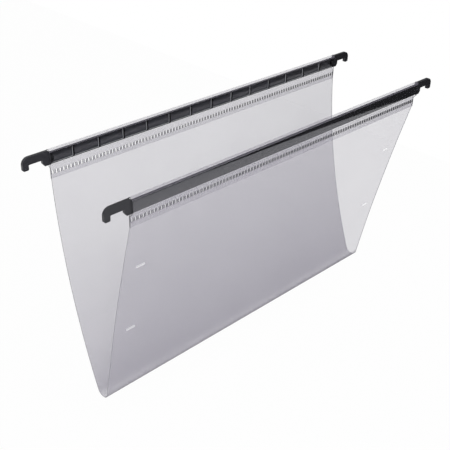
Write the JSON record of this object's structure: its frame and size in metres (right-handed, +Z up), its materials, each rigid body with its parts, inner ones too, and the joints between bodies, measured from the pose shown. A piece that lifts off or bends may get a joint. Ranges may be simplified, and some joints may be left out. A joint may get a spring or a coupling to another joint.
{
  "type": "hanging file folder",
  "caption": "Hanging file folder: a clear sheet folded at the base and hemmed over ribbed dark rails, with end hooks that hang on cabinet runners; it opens and closes like a V.",
  "frame": {"origin": "midway between the four hook seats, at the height of the runners' top", "axes": "+X along the rails to the right, -Y towards the front panel, +Z up"},
  "size_m": [0.404, 0.1098, 0.225],
  "materials": {
    "rail_plastic": "smooth moulded charcoal plastic",
    "hook_plastic": "fine matt black plastic",
    "clear_sheet": "clear, faintly frosted polypropylene"
  },
  "bodies": {
    "rear_rail_assembly": {"rear_rail": "rail_plastic", "hook_rear_left": "hook_plastic", "hook_rear_right": "hook_plastic", "rear_hem": "clear_sheet"},
    "rear_panel": {"rear_panel": "clear_sheet"},
    "front_panel": {"front_panel": "clear_sheet"},
    "front_rail_assembly": {"front_rail": "rail_plastic", "hook_front_left": "hook_plastic", "hook_front_right": "hook_plastic", "front_hem": "clear_sheet"}
  },
  "joints": [
    {"name": "rear_hem_flex", "type": "hinge", "parent": "rear_rail_assembly", "child": "rear_panel", "pos_m": [0, 0.0509, -0.0188], "axis": [-1, 0, 0], "range_deg": [-14, 30]},
    {"name": "base_fold", "type": "hinge", "parent": "rear_panel", "child": "front_panel", "pos_m": [0, 0, -0.21735], "axis": [1, 0, 0], "range_deg": [-28, 60]},
    {"name": "front_hem_flex", "type": "hinge", "parent": "front_panel", "child": "front_rail_assembly", "pos_m": [0, -0.0509, -0.0188], "axis": [-1, 0, 0], "range_deg": [-14, 30]}
  ],
  "couplings": [
    {"joint": "base_fold", "follows": "rear_hem_flex", "ratio": 2},
    {"joint": "front_hem_flex", "follows": "rear_hem_flex", "ratio": 1}
  ]
}
